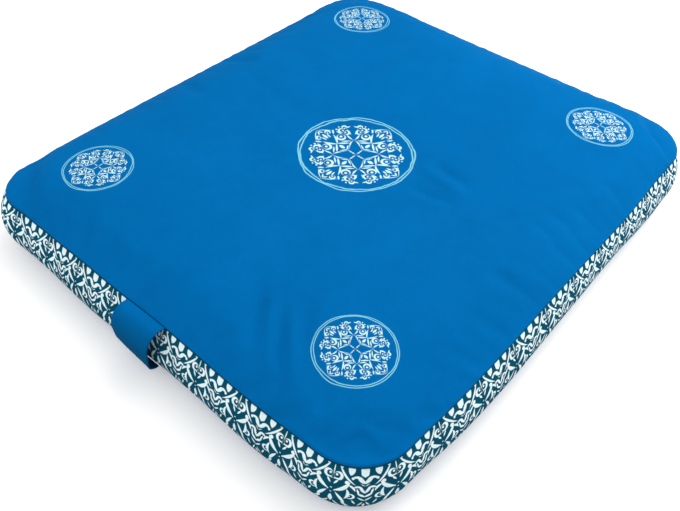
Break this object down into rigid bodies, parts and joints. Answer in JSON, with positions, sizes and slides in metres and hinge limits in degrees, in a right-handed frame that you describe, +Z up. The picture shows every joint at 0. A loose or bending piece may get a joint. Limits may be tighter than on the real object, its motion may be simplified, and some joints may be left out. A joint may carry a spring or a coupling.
{
  "type": "zabuton",
  "caption": "Thick rectangular floor cushion with rounded corners, a printed side band and a wide cloth strap handle on one side.",
  "frame": {"origin": "on the floor, under the middle of the cushion, on the flat of its underside", "axes": "+Z up, through the thickness; X and Y along the sides; the handle strap is on the -Y side, which is the shorter one"},
  "size_m": [0.7284, 0.8539, 0.1232],
  "materials": {
    "blue_cotton": "plain woven cotton, mid blue, with printed roundels on the top panel",
    "printed_cotton": "plain woven cotton, printed with white scrolls on dark blue",
    "strap_cotton": "the same blue cotton, folded double and stitched along its edges"
  },
  "bodies": {
    "root": {"cushion": "blue_cotton", "side_band": "printed_cotton", "handle_strap": "strap_cotton"}
  },
  "joints": []
}
